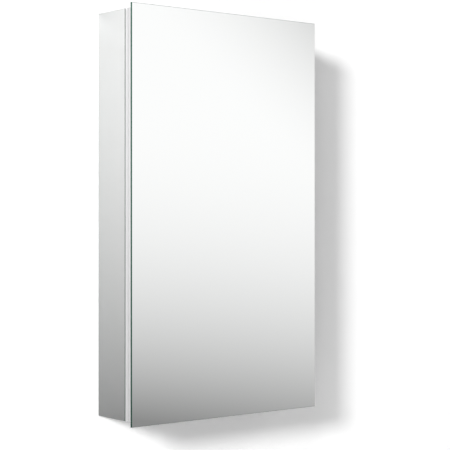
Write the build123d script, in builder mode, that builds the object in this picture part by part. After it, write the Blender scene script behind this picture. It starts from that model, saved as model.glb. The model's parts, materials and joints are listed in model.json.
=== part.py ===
from build123d import *
import os

# Wall-hung medicine cabinet with one mirrored door, hung on a continuous hinge down its right side.
# X runs to the right, Y into the wall and Z up. The origin is the middle of the back, on the wall.
# A depth is measured forward from the wall, so a depth d lies at Y = -d.

# Overall sizes
door_width = 381.0
door_height = 660.4
total_depth = 104.8

# Door: front mirror, bonding tape, hollow mitred frame, and the gap behind it
door_glass = 4.0
glass_overhang = 6.0
glass_seam = 0.5
bond_tape = 1.0
bond_tape_width = 14.0
bond_tape_gap = 0.5
frame_depth = 14.0
frame_box_width = 32.0
frame_wall = 1.5
door_gap = 1.5
lip_width = 8.0
lip_wall = 2.0
key_arm = 30.0
key_fit = 0.1

# Inside of the door: backing board, tape and inner mirror
inner_mirror_glass = 3.0
inner_tape = 0.5
inner_tape_width = 6.0
inner_tape_gap = 0.5
inner_mirror_fit = 0.5
backing_fit = 0.3
bumper_radius = 4.0
bumper_thickness = 1.2
bumper_inset = 8.0
bumper_from_end = 30.0

# Body: side mirrors taped on hollow side profiles, closed by hollow top and bottom profiles
side_mirror_glass = 3.0
side_mirror_seam = 0.25
side_tape = 1.0
side_tape_width = 12.0
side_tape_from_end = 24.0
side_tape_edge = 4.0
side_wall = 12.0
top_wall = 16.0
skin = 1.5
rib = 1.5
nose_length = 6.5
nose_groove = 1.4
back_sheet = 1.5
back_lap = 8.0
back_fit = 0.3
rear_web = 3.0
plug_length = 5.0
plug_fit = 0.1

# Screw ports along the top and bottom profiles, and the screws that hold the sides on them
port_front_depth = 62.0
port_rear_depth = 24.0
port_rib = 8.0
frame_screw_radius = 2.0
frame_screw_grip = 14.0
thread_fit = 0.05
hole_fit = 0.3

# Cross recess of every screw, as shares of its head
recess_span = 1.1
recess_width = 0.25
recess_depth = 0.8

# Back mirror, its tape, the wall holes and their bushes
back_mirror_glass = 3.0
back_tape = 1.0
back_tape_width = 20.0
back_tape_spacing = 90.0
back_tape_from_end = 40.0
back_mirror_fit = 0.5
wall_hole_radius = 3.25
wall_hole_from_side = 41.5
wall_hole_from_end = 28.8
bush_radius = 6.5
bush_bore_radius = 5.0
bush_flange_radius = 9.0
bush_flange = 1.2
bush_fit = 0.2

# Rivets of the back sheet
rivet_radius = 1.6
rivet_head_radius = 2.9
rivet_bulb_radius = 2.2
rivet_bulb = 1.2
rivet_fit = 0.05
rivet_rows = 5
rivet_columns = 3
rivet_from_end = 40.0

# Glass shelves and the pins that carry them
shelf_glass = 5.0
shelf_depth = 64.0
shelf_rear_gap = 1.0
shelf_end_gap = 0.5
shelf_edge_round = 1.5
pin_hole_spacing = 32.0
pin_hole_steps = 6
shelf_steps = 5
pin_front_depth = 58.0
pin_rear_depth = 18.0
pin_radius = 2.5
pin_hole_fit = 0.05
pin_barrel = 7.0
pin_collar_radius = 4.5
pin_collar = 1.0
tongue_length = 10.0
tongue_width = 7.0
tongue_thickness = 2.0
pad_radius = 3.0
pad_thickness = 0.8

# Continuous hinge
hinge_from_end = 8.0
hinge_knuckles = 25
knuckle_gap = 0.3
knuckle_radius = 2.2
knuckle_side_gap = 0.3
hinge_pin_radius = 1.2
hinge_pin_fit = 0.05
hinge_pin_head = 0.8
hinge_pin_head_radius = 1.8
hinge_leaf = 0.65
hinge_leaf_width = 14.0
hinge_screw_radius = 1.4
hinge_screw_head_radius = 2.3
hinge_screw_length = 8.0
hinge_screw_rows = 7
hinge_screw_from_end = 70.0
hinge_screw_inset = 8.0

# Magnetic catches
catch_from_end = 68.2
catch_length = 46.0
catch_width = 14.0
catch_depth = 13.0
catch_setback = 0.6
catch_ear = 9.0
catch_ear_wall = 3.0
catch_screw_radius = 1.5
catch_screw_length = 9.0
magnet_length = 24.0
magnet_width = 6.0
magnet_depth = 9.0
magnet_fit = 0.05
magnet_proud = 0.8
strike_length = 34.0
strike_width = 12.0
strike_plate = 0.9
strike_corner = 2.0
strike_screw_from_end = 5.0
strike_screw_radius = 1.3
strike_screw_length = 7.0

# Planes and edges that follow from the sizes above
side_plane = door_width / 2 - glass_overhang
half_height = door_height / 2 - glass_overhang
body_depth = total_depth - door_glass - bond_tape - frame_depth - door_gap
frame_back = body_depth + door_gap
frame_front = frame_back + frame_depth
glass_back = total_depth - door_glass
skin_outer = side_plane - side_mirror_glass - side_tape
inner_side = skin_outer - side_wall
inner_half_height = half_height - top_wall
back_face = back_sheet + back_tape + back_mirror_glass
port_height = half_height - top_wall / 2
box_inner = side_plane - frame_box_width
box_inner_half_height = half_height - frame_box_width
lip_back = frame_back + inner_mirror_glass + inner_tape
lip_front = lip_back + lip_wall

# A round or square block standing on its place, or hanging below it
on_place = (Align.CENTER, Align.CENTER, Align.MIN)
under_place = (Align.CENTER, Align.CENTER, Align.MAX)

os.makedirs("parts", exist_ok=True)


def keep(piece, name):
    """Label a finished piece and write it out."""
    piece.part.label = name
    export_step(piece.part, "parts/" + name + ".step")


def at_depth(depth, points):
    """Places at a depth in front of the wall, facing forward, from (X, Z) points."""
    plane = Plane.XZ.offset(depth)
    return [plane.location * Location((x, z, 0)) for x, z in points]


def facing_wall(depth, points):
    """Places at a depth in front of the wall, facing the wall, from (X, Z) points."""
    turned = Location((0, 0, 0), (180, 0, 0))
    return [place * turned for place in at_depth(depth, points)]


def facing_side(x, outward, points):
    """Places on an upright plane at x, facing +X or -X, from (Y, Z) points."""
    turn = Location((0, 0, 0), (0, 90 * outward, 0))
    return [Location((x, y, z)) * turn for y, z in points]


def corners(half_x, half_z):
    """The four corners of a rectangle about the middle."""
    return [(sx * half_x, sz * half_z) for sx in (-1, 1) for sz in (-1, 1)]


def screw(head_radius, head_depth, shank_radius, length):
    """A countersunk screw along the local Z axis, head at the origin, with a cross recess."""
    Cone(head_radius, shank_radius, head_depth, align=on_place)
    Cylinder(shank_radius, length, align=on_place)
    arm = head_radius * recess_span
    slot = head_radius * recess_width
    recess = head_depth * recess_depth
    Box(arm, slot, recess, align=on_place, mode=Mode.SUBTRACT)
    Box(slot, arm, recess, align=on_place, mode=Mode.SUBTRACT)


def screw_hole(head_radius, head_depth, shank_radius, length, fit):
    """The countersunk hole of such a screw, larger all round by the fit."""
    Cone(head_radius + fit, shank_radius + fit, head_depth, align=on_place, mode=Mode.SUBTRACT)
    Cylinder(shank_radius + fit, length, align=on_place, mode=Mode.SUBTRACT)


# Places of the fasteners, which the pieces they join share
nose_back = body_depth - nose_length
lap_x = inner_side + back_lap / 2
lap_z = inner_half_height + back_lap / 2
wall_holes = corners(inner_side - wall_hole_from_side, inner_half_height - wall_hole_from_end)
rivet_reach_z = 2 * (lap_z - rivet_from_end)
rivet_reach_x = 2 * (lap_x - rivet_from_end)
row_heights = [rivet_reach_z * (i / (rivet_rows - 1) - 0.5) for i in range(rivet_rows)]
column_places = [rivet_reach_x * (i / (rivet_columns - 1) - 0.5) for i in range(rivet_columns)]
side_rivets = [(side * lap_x, z) for side in (-1, 1) for z in row_heights]
end_rivets = [(x, level * lap_z) for level in (-1, 1) for x in column_places]
screw_points = [(-d, s * port_height) for d in (port_front_depth, port_rear_depth) for s in (-1, 1)]
pin_levels = [pin_hole_spacing * step for step in range(-pin_hole_steps, pin_hole_steps + 1)]
pin_points = [(-d, z) for d in (pin_front_depth, pin_rear_depth) for z in pin_levels]

hinge_length = 2 * (half_height - hinge_from_end)
hinge_screw_x = side_plane - hinge_screw_inset
hinge_screw_pitch = (hinge_length - 2 * hinge_screw_from_end) / (hinge_screw_rows - 0.5)
lowest_screw = hinge_screw_from_end - hinge_length / 2
body_screw_points = [(hinge_screw_x, lowest_screw + i * hinge_screw_pitch) for i in range(hinge_screw_rows)]
door_screw_points = [(x, z + hinge_screw_pitch / 2) for x, z in body_screw_points]

catch_height = inner_half_height - catch_from_end
catch_middle = body_depth - catch_setback - catch_depth / 2
catch_ear_reach = (catch_length - catch_ear) / 2
catch_screw_points = [
    (-catch_middle, level * catch_height + end * catch_ear_reach) for level in (-1, 1) for end in (-1, 1)
]
strike_x = -(inner_side - catch_width / 2)
strike_screw_reach = strike_length / 2 - strike_screw_from_end
strike_screw_points = [
    (strike_x, level * catch_height + end * strike_screw_reach) for level in (-1, 1) for end in (-1, 1)
]

# Side profiles: full-height hollow extrusions whose nose covers the side mirror's front edge
rib_middle = (port_front_depth + port_rear_depth) / 2
side_chambers = (
    (body_depth - skin, rib_middle + rib / 2),
    (rib_middle - rib / 2, back_sheet + rear_web),
)
chamber_middle = inner_side + side_wall / 2
chamber_width = side_wall - 2 * skin
frame_screw_head = 2 * frame_screw_radius


def side_profile(side):
    """The hollow side extrusion; side is -1 for the left one and 1 for the right one."""
    with BuildPart() as profile:
        with BuildSketch(Plane.XY.offset(-half_height)):
            with BuildLine():
                Polyline(
                    (side * inner_side, -body_depth),
                    (side * side_plane, -body_depth),
                    (side * side_plane, -nose_back),
                    (side * skin_outer, -nose_back),
                    (side * skin_outer, 0),
                    (side * (inner_side + back_lap), 0),
                    (side * (inner_side + back_lap), -back_sheet),
                    (side * inner_side, -back_sheet),
                    close=True,
                )
            make_face()
            for front, rear in side_chambers:
                with Locations((side * chamber_middle, -(front + rear) / 2)):
                    Rectangle(chamber_width, front - rear, mode=Mode.SUBTRACT)
        extrude(amount=2 * half_height)
        with Locations(*facing_side(side * skin_outer, -side, screw_points)):
            screw_hole(frame_screw_head, frame_screw_radius, frame_screw_radius, side_wall, hole_fit)
        with BuildSketch(Plane.YZ.offset(side * inner_side)):
            with Locations(*pin_points):
                Circle(pin_radius + pin_hole_fit)
            if side < 0:
                with Locations(*catch_screw_points):
                    Circle(catch_screw_radius + thread_fit)
        extrude(amount=side * skin, mode=Mode.SUBTRACT)
        with BuildSketch(Plane.XZ.offset(back_sheet)):
            with Locations(*[(x, z) for x, z in side_rivets if x * side > 0]):
                Circle(rivet_radius + rivet_fit)
        extrude(amount=rear_web, mode=Mode.SUBTRACT)
        if side > 0:
            with BuildSketch(Plane.XZ.offset(body_depth)):
                with Locations(*body_screw_points):
                    Circle(hinge_screw_radius + thread_fit)
            extrude(amount=-skin, mode=Mode.SUBTRACT)
    return profile


# Top and bottom profiles: hollow extrusions between the sides, with a screw port front and rear
def end_profile(level):
    """The hollow extrusion across the top (level 1) or the bottom (level -1)."""
    inner = level * inner_half_height
    lap = level * (inner_half_height + back_lap)
    chambers = (
        (body_depth - skin, port_front_depth + port_rib / 2),
        (port_front_depth - port_rib / 2, port_rear_depth + port_rib / 2),
        (port_rear_depth - port_rib / 2, back_sheet + rear_web),
    )
    with BuildPart() as profile:
        with BuildSketch(Plane.YZ.offset(-inner_side)):
            with BuildLine():
                Polyline(
                    (-body_depth, inner),
                    (-body_depth, level * half_height),
                    (0, level * half_height),
                    (0, lap),
                    (-back_sheet, lap),
                    (-back_sheet, inner),
                    close=True,
                )
            make_face()
            for front, rear in chambers:
                with Locations((-(front + rear) / 2, level * port_height)):
                    Rectangle(front - rear, top_wall - 2 * skin, mode=Mode.SUBTRACT)
            with Locations(*[(-d, level * port_height) for d in (port_front_depth, port_rear_depth)]):
                Circle(frame_screw_radius + thread_fit, mode=Mode.SUBTRACT)
        extrude(amount=2 * inner_side)
        with BuildSketch(Plane.XZ.offset(back_sheet)):
            with Locations(*[(x, z) for x, z in end_rivets if z * level > 0]):
                Circle(rivet_radius + rivet_fit)
        extrude(amount=rear_web, mode=Mode.SUBTRACT)
    return profile


for side, name in ((-1, "left"), (1, "right")):
    keep(side_profile(side), name + "_side_profile")
for level, name in ((-1, "bottom"), (1, "top")):
    keep(end_profile(level), name + "_profile")

# Plugs that close the open ends of the side profiles' chambers
with BuildPart() as end_plugs:
    for base in (-half_height, half_height - plug_length):
        with BuildSketch(Plane.XY.offset(base)):
            for side in (-1, 1):
                for front, rear in side_chambers:
                    with Locations((side * chamber_middle, -(front + rear) / 2)):
                        Rectangle(chamber_width - 2 * plug_fit, front - rear - 2 * plug_fit)
        extrude(amount=plug_length)
keep(end_plugs, "profile_end_plugs")

# Frame screws: through each side profile into the ports of the top and bottom profiles
with BuildPart() as frame_screws:
    for side in (-1, 1):
        with Locations(*facing_side(side * skin_outer, -side, screw_points)):
            screw(frame_screw_head, frame_screw_radius, frame_screw_radius, side_wall + frame_screw_grip)
keep(frame_screws, "frame_screws")

# Back sheet: set in the rear rabbet of the four profiles, flush with their wall side
with BuildPart() as back_panel:
    with BuildSketch(Plane.XZ):
        Rectangle(2 * (inner_side + back_lap - back_fit), 2 * (inner_half_height + back_lap - back_fit))
        with Locations(*wall_holes):
            Circle(wall_hole_radius, mode=Mode.SUBTRACT)
    extrude(amount=back_sheet)
    with Locations(*at_depth(0, side_rivets + end_rivets)):
        screw_hole(rivet_head_radius, back_sheet / 2, rivet_radius, back_sheet, rivet_fit)
keep(back_panel, "back_panel")

# Rivets: flush head in the back sheet, shank through the web and a formed end inside the profile
rivet_grip = back_sheet + rear_web
with BuildPart() as rivets:
    with Locations(*at_depth(0, side_rivets + end_rivets)):
        Cone(rivet_head_radius, rivet_radius, back_sheet / 2, align=on_place)
        Cylinder(rivet_radius, rivet_grip, align=on_place)
    with Locations(*at_depth(rivet_grip, side_rivets + end_rivets)):
        Cylinder(rivet_bulb_radius, rivet_bulb, align=on_place)
keep(rivets, "back_panel_rivets")

# Back mirror on three strips of tape, with a bush in each of its four wall holes
tape_front = back_sheet + back_tape
with BuildPart() as back_mirror_tape:
    with BuildSketch(Plane.XZ.offset(back_sheet)):
        with GridLocations(back_tape_spacing, 0, 3, 1):
            Rectangle(back_tape_width, 2 * (inner_half_height - back_tape_from_end))
    extrude(amount=back_tape)
keep(back_mirror_tape, "back_mirror_tape")

with BuildPart() as back_mirror:
    with BuildSketch(Plane.XZ.offset(tape_front)):
        Rectangle(2 * (inner_side - back_mirror_fit), 2 * (inner_half_height - back_mirror_fit))
        with Locations(*wall_holes):
            Circle(bush_radius + bush_fit, mode=Mode.SUBTRACT)
    extrude(amount=back_mirror_glass)
keep(back_mirror, "back_mirror")

with BuildPart() as wall_hole_bushes:
    with BuildSketch(Plane.XZ.offset(back_sheet)):
        with Locations(*wall_holes):
            Circle(bush_radius)
    extrude(amount=back_face - back_sheet)
    with BuildSketch(Plane.XZ.offset(back_face)):
        with Locations(*wall_holes):
            Circle(bush_flange_radius)
    extrude(amount=bush_flange)
    with BuildSketch(Plane.XZ.offset(back_sheet)):
        with Locations(*wall_holes):
            Circle(bush_bore_radius)
    extrude(amount=back_face - back_sheet + bush_flange, mode=Mode.SUBTRACT)
keep(wall_hole_bushes, "wall_hole_bushes")

# Side mirrors: each on three strips of tape, behind the nose of its side profile
mirror_front = nose_back - nose_groove
strip_inset = side_tape_edge + side_tape_width / 2
strip_depths = (strip_inset, mirror_front / 2, mirror_front - strip_inset)


def side_mirror(side):
    """The mirror glass along one side of the body."""
    with BuildPart() as mirror:
        with BuildSketch(Plane.XY.offset(-half_height)):
            with Locations((side * (side_plane - side_mirror_glass / 2), -mirror_front / 2)):
                Rectangle(side_mirror_glass, mirror_front)
        extrude(amount=2 * half_height)
        chamfer(mirror.edges().filter_by(Axis.X, reverse=True), length=side_mirror_seam)
    return mirror


def side_mirror_tape(side):
    """The three strips of tape under one side mirror."""
    with BuildPart() as tape:
        with BuildSketch(Plane.XY.offset(-half_height + side_tape_from_end)):
            for depth in strip_depths:
                with Locations((side * (skin_outer + side_tape / 2), -depth)):
                    Rectangle(side_tape, side_tape_width)
        extrude(amount=2 * (half_height - side_tape_from_end))
    return tape


for side, name in ((-1, "left"), (1, "right")):
    keep(side_mirror(side), name + "_side_mirror")
    keep(side_mirror_tape(side), name + "_side_mirror_tape")

# Shelves: glass on four pins each, with a soft pad between glass and pin
shelf_levels = {"lower": -shelf_steps, "middle": 0, "upper": shelf_steps}
shelf_rear = back_face + shelf_rear_gap
shelf_half_length = inner_side - pin_collar - shelf_end_gap
pin_depths = (pin_front_depth, pin_rear_depth)


def shelf(height):
    """A glass shelf whose underside lies at the given height."""
    with BuildPart() as glass:
        with BuildSketch(Plane.XY.offset(height)):
            with Locations((0, -(shelf_rear + shelf_depth / 2))):
                Rectangle(2 * shelf_half_length, shelf_depth)
        extrude(amount=shelf_glass)
        front_face = glass.faces().sort_by(Axis.Y)[0]
        fillet(front_face.edges().filter_by(Axis.X), radius=shelf_edge_round)
    return glass


def shelf_pins(height):
    """The four pins of a shelf, in the pin holes at the given height."""
    with BuildPart() as pins:
        for side in (-1, 1):
            with Locations(*facing_side(side * inner_side, side, [(-d, height) for d in pin_depths])):
                Cylinder(pin_radius, pin_barrel, align=on_place)
                Cylinder(pin_collar_radius, pin_collar, align=under_place)
                Box(tongue_thickness, tongue_width, pin_collar + tongue_length, align=under_place)
    return pins


for name, step in shelf_levels.items():
    hole_height = step * pin_hole_spacing
    keep(shelf_pins(hole_height), "shelf_pins_" + name)
    keep(shelf(hole_height + tongue_thickness / 2 + pad_thickness), "shelf_" + name)

pad_x = inner_side - pin_collar - tongue_length / 2
with BuildPart() as shelf_pads:
    for step in shelf_levels.values():
        with BuildSketch(Plane.XY.offset(step * pin_hole_spacing + tongue_thickness / 2)):
            with Locations(*[(side * pad_x, -d) for side in (-1, 1) for d in pin_depths]):
                Circle(pad_radius)
        extrude(amount=pad_thickness)
keep(shelf_pads, "shelf_pads")

# Door mirror, with a seamed edge all round
with BuildPart() as door_mirror:
    with BuildSketch(Plane.XZ.offset(glass_back)):
        Rectangle(door_width, door_height)
    extrude(amount=door_glass)
    chamfer(door_mirror.edges().filter_by(Axis.Y, reverse=True), length=glass_seam)
keep(door_mirror, "door_mirror")

# Door frame: four lengths of one hollow section with a lip for the inner mirror, mitred at the corners
member_width = frame_box_width + lip_width
member_corners = (
    (side_plane, half_height),
    (side_plane - member_width, half_height - member_width),
)


def mitre_outline(points):
    """The outline of a mitred frame member, seen from the front."""
    with BuildSketch(Plane.XZ.offset(frame_back)) as outline:
        with BuildLine():
            Polyline(*points, close=True)
        make_face()
    return outline.sketch


def frame_section(outer, inner, lip_end, depth_first):
    """The section of a door frame member between its outer and inner edges."""

    def block(edge_a, edge_b, front, rear, mode):
        middle = ((edge_a + edge_b) / 2, -(front + rear) / 2)
        size = (abs(edge_a - edge_b), front - rear)
        if depth_first:
            middle = middle[::-1]
            size = size[::-1]
        with Locations(middle):
            Rectangle(*size, mode=mode)

    way = 1 if outer > inner else -1
    block(outer, inner, frame_front, frame_back, Mode.ADD)
    block(inner, lip_end, lip_front, lip_back, Mode.ADD)
    block(
        outer - way * frame_wall,
        inner + way * frame_wall,
        frame_front - frame_wall,
        frame_back + frame_wall,
        Mode.SUBTRACT,
    )


def stile(side):
    """An upright member of the door frame."""
    outline = mitre_outline([(side * x, level * z) for level in (-1, 1) for x, z in member_corners[::level]])
    with BuildPart() as member:
        with BuildSketch(Plane.XY.offset(-half_height)):
            frame_section(side * side_plane, side * box_inner, side * (box_inner - lip_width), False)
        extrude(amount=2 * half_height)
        extrude(outline, amount=frame_depth, mode=Mode.INTERSECT)
        with BuildSketch(Plane.XZ.offset(frame_back)):
            if side > 0:
                with Locations(*door_screw_points):
                    Circle(hinge_screw_radius + thread_fit)
            else:
                with Locations(*strike_screw_points):
                    Circle(strike_screw_radius + thread_fit)
        extrude(amount=frame_wall, mode=Mode.SUBTRACT)
    return member


def rail(level):
    """The member across the top (level 1) or the bottom (level -1) of the door frame."""
    outline = mitre_outline([(side * x, level * z) for side in (-1, 1) for x, z in member_corners[::side]])
    half_lip = box_inner_half_height - lip_width
    with BuildPart() as member:
        with BuildSketch(Plane.YZ.offset(-side_plane)):
            frame_section(level * half_height, level * box_inner_half_height, level * half_lip, True)
        extrude(amount=2 * side_plane)
        extrude(outline, amount=frame_depth, mode=Mode.INTERSECT)
    return member


keep(stile(-1), "door_stile_free_side")
keep(stile(1), "door_stile_hinge_side")
keep(rail(1), "door_rail_top")
keep(rail(-1), "door_rail_bottom")

# Corner keys: an angle block inside each mitred corner of the door frame
key_outer_x = side_plane - frame_wall - key_fit
key_outer_z = half_height - frame_wall - key_fit
key_width = frame_box_width - 2 * (frame_wall + key_fit)
key_span = key_width + key_arm
with BuildPart() as corner_keys:
    with BuildSketch(Plane.XZ.offset(frame_back + frame_wall + key_fit)):
        for sx, sz in corners(1, 1):
            with Locations((sx * (key_outer_x - key_span / 2), sz * (key_outer_z - key_width / 2))):
                Rectangle(key_span, key_width)
            with Locations((sx * (key_outer_x - key_width / 2), sz * (key_outer_z - key_span / 2))):
                Rectangle(key_width, key_span)
    extrude(amount=frame_depth - 2 * (frame_wall + key_fit))
keep(corner_keys, "door_corner_keys")

# Bonding tape between the door mirror and the frame
with BuildPart() as door_mirror_tape:
    with BuildSketch(Plane.XZ.offset(frame_front)):
        strip_x = side_plane - frame_box_width / 2
        strip_z = half_height - frame_box_width / 2
        with Locations((-strip_x, 0), (strip_x, 0)):
            Rectangle(bond_tape_width, 2 * strip_z + bond_tape_width)
        with Locations((0, -strip_z), (0, strip_z)):
            Rectangle(2 * (strip_x - bond_tape_gap) - bond_tape_width, bond_tape_width)
    extrude(amount=bond_tape)
keep(door_mirror_tape, "door_mirror_tape")

# Backing board between the door mirror and the lips of the frame
with BuildPart() as backing_board:
    with BuildSketch(Plane.XZ.offset(lip_front + backing_fit)):
        Rectangle(2 * (box_inner - backing_fit), 2 * (box_inner_half_height - backing_fit))
    extrude(amount=glass_back - lip_front - 2 * backing_fit)
keep(backing_board, "door_backing_board")

# Inner mirror, taped on the lips and flush with the back of the frame
inner_mirror_half_x = box_inner - inner_mirror_fit
inner_mirror_half_z = box_inner_half_height - inner_mirror_fit
with BuildPart() as inner_mirror:
    with BuildSketch(Plane.XZ.offset(frame_back)):
        Rectangle(2 * inner_mirror_half_x, 2 * inner_mirror_half_z)
    extrude(amount=inner_mirror_glass)
keep(inner_mirror, "door_inner_mirror")

with BuildPart() as inner_mirror_tape:
    with BuildSketch(Plane.XZ.offset(frame_back + inner_mirror_glass)):
        strip_x = box_inner - lip_width / 2
        strip_z = box_inner_half_height - lip_width / 2
        with Locations((-strip_x, 0), (strip_x, 0)):
            Rectangle(inner_tape_width, 2 * strip_z + inner_tape_width)
        with Locations((0, -strip_z), (0, strip_z)):
            Rectangle(2 * (strip_x - inner_tape_gap) - inner_tape_width, inner_tape_width)
    extrude(amount=inner_tape)
keep(inner_mirror_tape, "door_inner_mirror_tape")

# Soft bumpers at the free corners of the door
bumper_x = -(side_plane - bumper_inset)
bumper_z = half_height - bumper_from_end
with BuildPart() as bumpers:
    with BuildSketch(Plane.XZ.offset(frame_back - bumper_thickness)):
        with Locations((bumper_x, -bumper_z), (bumper_x, bumper_z)):
            Circle(bumper_radius)
    extrude(amount=bumper_thickness)
keep(bumpers, "door_bumpers")

# Continuous hinge: two leaves in the gap behind the door, knuckles turn about on one long pin
hinge_axis_x = side_plane + knuckle_side_gap + knuckle_radius
hinge_axis_depth = body_depth + door_gap / 2
knuckle_pitch = hinge_length / hinge_knuckles
leaf_middle = side_plane - hinge_leaf_width / 2
tab_middle = (side_plane + hinge_axis_x) / 2
knuckle_middles = [(i + 0.5) * knuckle_pitch - hinge_length / 2 for i in range(hinge_knuckles)]


def hinge_leaf_part(depth, middles):
    """A leaf with its near face at a depth, and the knuckles at some of the knuckle places."""
    with BuildPart() as leaf:
        with BuildSketch(Plane.XZ.offset(depth)):
            with Locations((leaf_middle, 0)):
                Rectangle(hinge_leaf_width, hinge_length)
            with Locations(*[(tab_middle, z) for z in middles]):
                Rectangle(hinge_axis_x - side_plane, knuckle_pitch - knuckle_gap)
        extrude(amount=hinge_leaf)
        for z in middles:
            with BuildSketch(Plane.XY.offset(z - (knuckle_pitch - knuckle_gap) / 2)):
                with Locations((hinge_axis_x, -hinge_axis_depth)):
                    Circle(knuckle_radius)
            extrude(amount=knuckle_pitch - knuckle_gap)
        with BuildSketch(Plane.XY.offset(-hinge_length / 2)):
            with Locations((hinge_axis_x, -hinge_axis_depth)):
                Circle(hinge_pin_radius + hinge_pin_fit)
        extrude(amount=hinge_length, mode=Mode.SUBTRACT)
    return leaf


body_leaf = hinge_leaf_part(body_depth, knuckle_middles[0::2])
door_leaf = hinge_leaf_part(frame_back - hinge_leaf, knuckle_middles[1::2])
body_leaf_face = body_depth + hinge_leaf
door_leaf_face = frame_back - hinge_leaf
with body_leaf:
    with Locations(*facing_wall(body_leaf_face, body_screw_points)):
        screw_hole(hinge_screw_head_radius, hinge_leaf, hinge_screw_radius, hinge_leaf, thread_fit)
with door_leaf:
    with Locations(*at_depth(door_leaf_face, door_screw_points)):
        screw_hole(hinge_screw_head_radius, hinge_leaf, hinge_screw_radius, hinge_leaf, thread_fit)
keep(body_leaf, "hinge_body_leaf")
keep(door_leaf, "hinge_door_leaf")

knuckle_end = (hinge_length - knuckle_gap) / 2
with BuildPart() as hinge_pin:
    for base, length, radius in (
        (-knuckle_end, 2 * knuckle_end, hinge_pin_radius),
        (-knuckle_end - hinge_pin_head, hinge_pin_head, hinge_pin_head_radius),
        (knuckle_end, hinge_pin_head, hinge_pin_head_radius),
    ):
        with BuildSketch(Plane.XY.offset(base)):
            with Locations((hinge_axis_x, -hinge_axis_depth)):
                Circle(radius)
        extrude(amount=length)
keep(hinge_pin, "hinge_pin")

with BuildPart() as hinge_body_screws:
    with Locations(*facing_wall(body_leaf_face, body_screw_points)):
        screw(hinge_screw_head_radius, hinge_leaf, hinge_screw_radius, hinge_screw_length)
keep(hinge_body_screws, "hinge_body_screws")

with BuildPart() as hinge_door_screws:
    with Locations(*at_depth(door_leaf_face, door_screw_points)):
        screw(hinge_screw_head_radius, hinge_leaf, hinge_screw_radius, hinge_screw_length)
keep(hinge_door_screws, "hinge_door_screws")

# Magnetic catches: a housing and magnet on the left wall, low and high, and a strike on the door
catch_levels = (-catch_height, catch_height)
catch_front = body_depth - catch_setback
with BuildPart() as catch_housings:
    with BuildSketch(Plane.XZ.offset(catch_front - catch_depth)):
        for height in catch_levels:
            with Locations((-(inner_side - catch_ear_wall / 2), height)):
                Rectangle(catch_ear_wall, catch_length)
            with Locations((strike_x, height)):
                Rectangle(catch_width, catch_length - 2 * catch_ear)
    extrude(amount=catch_depth)
    with BuildSketch(Plane.XZ.offset(catch_front)):
        with Locations(*[(strike_x, height) for height in catch_levels]):
            Rectangle(magnet_width + 2 * magnet_fit, magnet_length + 2 * magnet_fit)
    extrude(amount=magnet_proud - magnet_depth, mode=Mode.SUBTRACT)
    with Locations(*facing_side(-(inner_side - catch_ear_wall), -1, catch_screw_points)):
        screw_hole(
            2 * catch_screw_radius, catch_screw_radius, catch_screw_radius, catch_ear_wall, thread_fit
        )
keep(catch_housings, "catch_housings")

with BuildPart() as catch_magnets:
    with BuildSketch(Plane.XZ.offset(catch_front + magnet_proud - magnet_depth)):
        with Locations(*[(strike_x, height) for height in catch_levels]):
            Rectangle(magnet_width, magnet_length)
    extrude(amount=magnet_depth)
keep(catch_magnets, "catch_magnets")

with BuildPart() as catch_screws:
    with Locations(*facing_side(-(inner_side - catch_ear_wall), -1, catch_screw_points)):
        screw(2 * catch_screw_radius, catch_screw_radius, catch_screw_radius, catch_screw_length)
keep(catch_screws, "catch_screws")

strike_head = 2 * strike_screw_radius
with BuildPart() as strikes:
    with BuildSketch(Plane.XZ.offset(frame_back - strike_plate)):
        with Locations(*[(strike_x, height) for height in catch_levels]):
            RectangleRounded(strike_width, strike_length, strike_corner)
    extrude(amount=strike_plate)
    with Locations(*at_depth(frame_back - strike_plate, strike_screw_points)):
        screw_hole(strike_head, strike_plate, strike_screw_radius, strike_plate, thread_fit)
keep(strikes, "catch_strikes")

with BuildPart() as strike_screws:
    with Locations(*at_depth(frame_back - strike_plate, strike_screw_points)):
        screw(strike_head, strike_plate, strike_screw_radius, strike_screw_length)
keep(strike_screws, "strike_screws")
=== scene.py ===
"""Looks of a wall-hung medicine cabinet: mirrors, aluminium, glass shelves, hinge and catches."""

import json
import math

import bmesh
import bpy
from bpy.props import FloatProperty, FloatVectorProperty, IntProperty, PointerProperty
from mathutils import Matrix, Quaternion, Vector

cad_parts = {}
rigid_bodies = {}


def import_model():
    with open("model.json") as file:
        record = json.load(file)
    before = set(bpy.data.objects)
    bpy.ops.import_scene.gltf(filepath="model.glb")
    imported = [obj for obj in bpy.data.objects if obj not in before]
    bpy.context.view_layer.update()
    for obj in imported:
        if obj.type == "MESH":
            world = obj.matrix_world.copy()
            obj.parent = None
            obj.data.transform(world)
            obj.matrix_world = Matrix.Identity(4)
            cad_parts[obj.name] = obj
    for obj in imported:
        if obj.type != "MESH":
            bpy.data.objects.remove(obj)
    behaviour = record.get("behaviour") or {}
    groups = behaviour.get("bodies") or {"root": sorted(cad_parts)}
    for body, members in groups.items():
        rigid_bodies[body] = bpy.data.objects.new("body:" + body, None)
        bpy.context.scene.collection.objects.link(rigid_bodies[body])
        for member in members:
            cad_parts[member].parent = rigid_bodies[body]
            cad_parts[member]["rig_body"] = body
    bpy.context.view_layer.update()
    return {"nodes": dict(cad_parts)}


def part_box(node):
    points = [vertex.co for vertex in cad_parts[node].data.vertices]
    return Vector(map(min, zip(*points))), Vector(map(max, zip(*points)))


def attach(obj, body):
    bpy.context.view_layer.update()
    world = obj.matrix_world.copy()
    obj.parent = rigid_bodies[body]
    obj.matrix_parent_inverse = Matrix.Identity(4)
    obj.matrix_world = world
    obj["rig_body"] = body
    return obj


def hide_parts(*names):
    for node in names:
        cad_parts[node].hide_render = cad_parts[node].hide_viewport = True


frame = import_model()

bl_info = {
    "name": "Medicine Cabinet",
    "version": (1, 0, 0),
    "blender": (4, 5, 0),
    "location": "View3D > Sidebar > Cabinet",
    "description": "Dresses a wall-hung medicine cabinet and its stage around the loaded frame",
    "category": "Object",
}

MM = 0.001


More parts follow.
